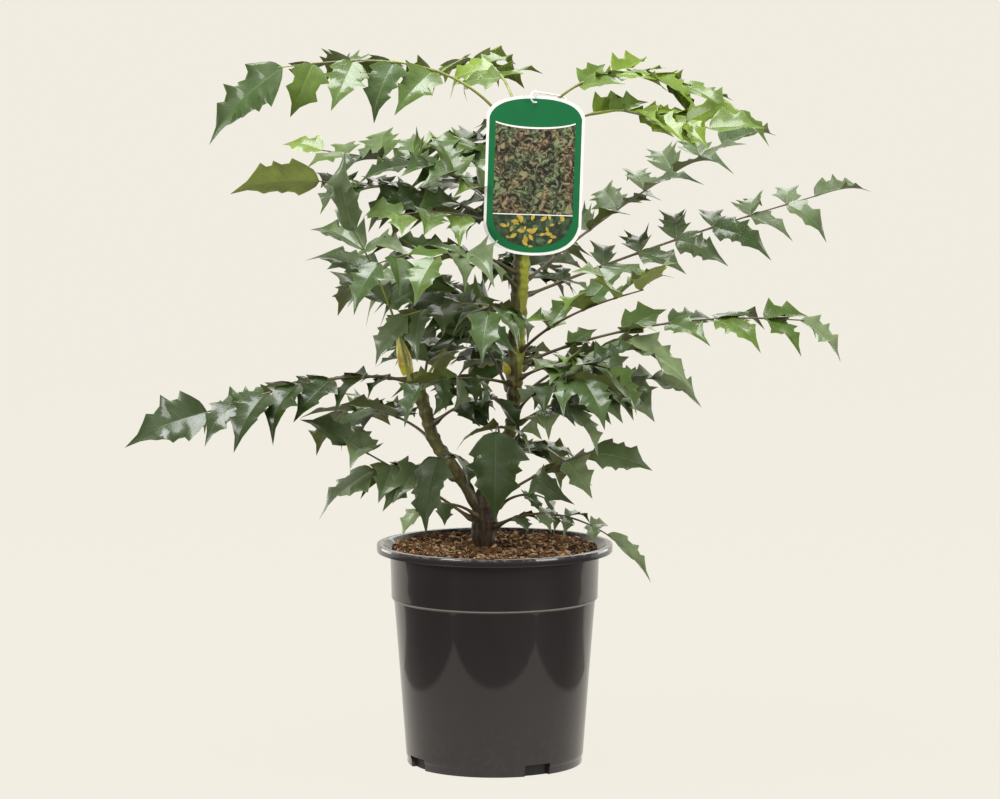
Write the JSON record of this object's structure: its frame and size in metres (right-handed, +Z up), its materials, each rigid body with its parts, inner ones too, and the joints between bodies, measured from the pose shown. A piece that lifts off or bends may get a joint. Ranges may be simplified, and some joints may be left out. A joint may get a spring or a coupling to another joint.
{
  "type": "potted japanese mahonia",
  "caption": "Evergreen flowering shrub with long pinnate fronds of spiny leaflets on upright canes, growing in a round nursery pot, with a blank hang tag.",
  "frame": {"origin": "centre of the pot's flat underside", "axes": "+Z up along the pot's axis, +X to the right and +Y to the back in the front view"},
  "size_m": [0.7166, 0.4488, 0.6813],
  "materials": {
    "pot": "semi-gloss black injection-moulded plastic",
    "soil": "coarse brown potting mix of bark and fibre chips",
    "cane": "thin bark with leaf-scar rings, brown at the foot and green above",
    "bud": "smooth yellow-green bud scales",
    "frond": "thick glossy leaflets, dark green above and yellow-green below",
    "tag": null,
    "loop": "thin white plastic band"
  },
  "bodies": {
    "root": {"pot": "pot", "soil": "soil", "cane_main": "cane", "cane_left": "cane", "bud_main": "bud", "bud_left": "bud", "bud_side": "bud", "tag": "tag", "tag_loop": "loop", "frond_top_left": "frond", "frond_top_back_left": "frond", "frond_top_right_upper": "frond", "frond_top_right_lower": "frond", "frond_right_high": "frond", "frond_right_long": "frond", "frond_right_middle": "frond", "frond_right_front": "frond", "frond_right_low_upper": "frond", "frond_right_low": "frond", "frond_right_foot": "frond", "frond_right_over_rim": "frond", "frond_right_sprig": "frond", "frond_left_high": "frond", "frond_left_back_high": "frond", "frond_back_left_top": "frond", "frond_left_upright": "frond", "frond_left_cluster": "frond", "frond_left_long": "frond", "frond_left_foot_long": "frond", "frond_left_low": "frond", "frond_left_sprig": "frond", "frond_inner_left": "frond", "frond_inner_high": "frond", "frond_front_foot": "frond", "frond_front_left_foot": "frond", "frond_front_middle": "frond", "frond_front_right": "frond", "frond_front_left_high": "frond", "frond_front_high": "frond", "frond_front_centre": "frond", "frond_back_top": "frond", "frond_back_high": "frond", "frond_back_right": "frond", "frond_back_middle": "frond", "frond_back_low": "frond", "frond_back_left": "frond", "frond_back_left_low": "frond", "frond_back_foot": "frond", "frond_inner_left_top": "frond", "frond_inner_left_middle": "frond", "frond_inner_right": "frond", "frond_inner_right_low": "frond", "frond_inner_left_low": "frond"}
  },
  "joints": []
}
